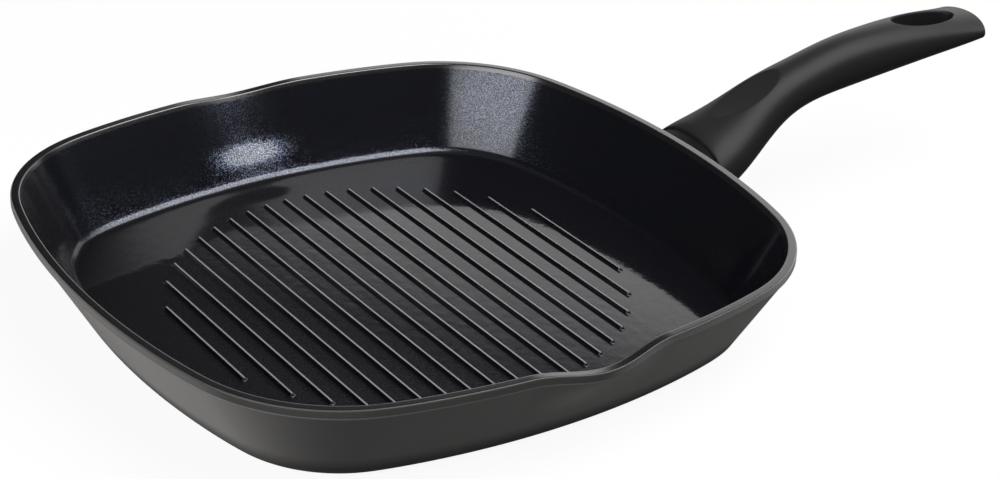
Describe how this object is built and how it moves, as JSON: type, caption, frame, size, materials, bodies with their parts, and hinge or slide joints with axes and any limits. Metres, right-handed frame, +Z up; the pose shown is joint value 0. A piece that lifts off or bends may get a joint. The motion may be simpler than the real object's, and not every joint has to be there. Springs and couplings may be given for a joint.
{
  "type": "grill pan",
  "caption": "Square non-stick grill pan with parallel ribs across the floor, a pouring lip on two sides and a curved black handle with a hanging slot.",
  "frame": {"origin": "centre of the base, on the plane the pan stands on", "axes": "+Z up out of the pan, +X along the handle, ribs and pouring lips along Y"},
  "size_m": [0.449, 0.278, 0.0703],
  "materials": {
    "pan_casting": "dark ceramic non-stick inside, satin grey coat outside",
    "base_steel": "brushed",
    "handle_phenolic": "satin black moulding",
    "guard_coat": "black heat-resistant coat",
    "fastener_steel": "plain steel"
  },
  "bodies": {
    "root": {"pan_body": "pan_casting", "induction_plate": "base_steel", "handle": "handle_phenolic", "flame_guard": "guard_coat", "boss_insert": "fastener_steel", "handle_screw": "fastener_steel", "plain_washer": "fastener_steel", "lock_washer": "fastener_steel"}
  },
  "joints": []
}
